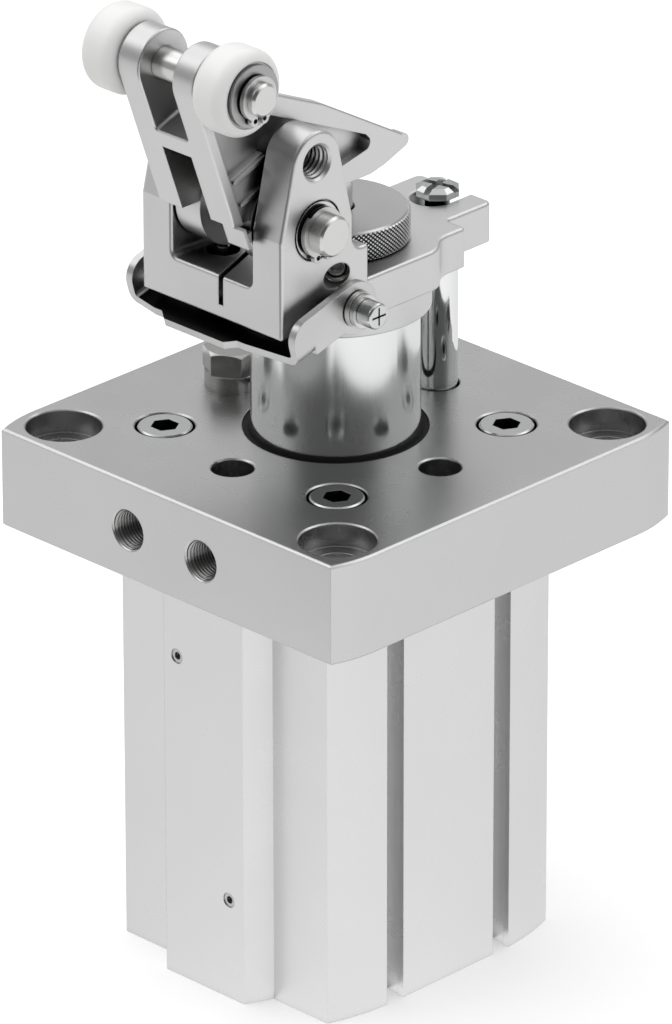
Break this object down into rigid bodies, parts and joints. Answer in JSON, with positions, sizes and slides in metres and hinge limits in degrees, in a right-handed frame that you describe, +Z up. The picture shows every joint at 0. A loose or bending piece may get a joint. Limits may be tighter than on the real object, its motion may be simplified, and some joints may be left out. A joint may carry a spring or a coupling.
{
  "type": "stopper cylinder",
  "caption": "Pneumatic stopper cylinder: profiled barrel under a square flange, and a guided rod whose yoke carries a toggle lever with white rollers and a shock absorber.",
  "frame": {"origin": "centre of the flange's underside, the face that is bolted down, on the piston rod's axis", "axes": "+Z up along the piston rod, -Y towards the rollers and the oncoming goods, X along the lever's pin"},
  "size_m": [0.113, 0.1169, 0.2471],
  "materials": {
    "barrel": "clear anodised extrusion, satin",
    "flange": "milled and clear anodised, fine satin",
    "cast": "bead-blasted fine casting, matt silver",
    "chrome": "ground and hard-chromed",
    "steel": "turned stainless steel",
    "zinc": "bright zinc-plated steel",
    "spring_steel": "stamped spring steel",
    "dark_steel": "blackened steel",
    "knob": "diamond-knurled, satin",
    "roller": "white polyacetal",
    "seal": "black elastomer",
    "bearing": "sintered bronze",
    "magnet": "plastic-bonded magnet"
  },
  "bodies": {
    "housing": {"barrel_profile": "barrel", "flange_plate": "flange", "flange_screws": "zinc", "channel_plugs": "dark_steel", "rod_wiper": "seal", "rod_seal": "seal", "rod_bearing": "bearing", "guide_bush": "bearing", "hex_plug": "dark_steel", "bottom_cover": "flange", "cover_seal": "seal", "cover_clip": "spring_steel", "end_buffer": "seal"},
    "rod": {"piston_rod": "chrome", "piston": "flange", "piston_seal": "seal", "magnet_ring": "magnet", "piston_screw": "dark_steel", "head_housing": "cast", "knob_lock_screw": "steel", "lever_pin": "steel", "pin_washers": "steel", "pin_clips": "spring_steel", "absorber_body": "steel", "guide_rod": "chrome", "guide_rod_screw": "zinc", "bail_bushes": "steel", "bail_washers": "steel", "bail_screws": "zinc"},
    "toggle": {"lever": "cast", "roller_axle": "steel", "roller_washers": "steel", "roller_clips": "spring_steel"},
    "left_roller": {"roller_left": "roller"},
    "right_roller": {"roller_right": "roller"},
    "absorber_plunger": {"plunger": "steel"},
    "knob": {"adjuster_knob": "knob"},
    "bail": {"release_bail": "spring_steel"},
    "locking_pin": {"lock_pin": "steel"}
  },
  "joints": [
    {"name": "rod_slide", "type": "slide", "parent": "housing", "child": "rod", "axis": [0, 0, -1], "range_m": [0, 0.03]},
    {"name": "lever_hinge", "type": "hinge", "parent": "rod", "child": "toggle", "pos_m": [0, -0.0287, 0.0901], "axis": [-1, 0, 0], "range_deg": [0, 18]},
    {"name": "left_roller_spin", "type": "hinge", "parent": "toggle", "child": "left_roller", "pos_m": [-0.0179, -0.0499, 0.1296], "axis": [1, 0, 0], "continuous": true},
    {"name": "right_roller_spin", "type": "hinge", "parent": "toggle", "child": "right_roller", "pos_m": [0.0179, -0.0499, 0.1296], "axis": [1, 0, 0], "continuous": true},
    {"name": "plunger_slide", "type": "slide", "parent": "rod", "child": "absorber_plunger", "axis": [0, 0, -1], "range_m": [0, 0.0095]},
    {"name": "knob_turn", "type": "hinge", "parent": "rod", "child": "knob", "pos_m": [0, 0, 0.077], "axis": [0, 0, 1], "range_deg": [-150, 150]},
    {"name": "bail_hinge", "type": "hinge", "parent": "rod", "child": "bail", "pos_m": [0, -0.02085, 0.0697], "axis": [-1, 0, 0], "range_deg": [0, 5.5]},
    {"name": "lock_pin_slide", "type": "slide", "parent": "rod", "child": "locking_pin", "axis": [0, 0, 1], "range_m": [0, 0.001]}
  ],
  "couplings": [
    {"joint": "plunger_slide", "follows": "lever_hinge", "m_per_rad": 0.0287},
    {"joint": "lock_pin_slide", "follows": "bail_hinge", "m_per_rad": 0.0081}
  ]
}
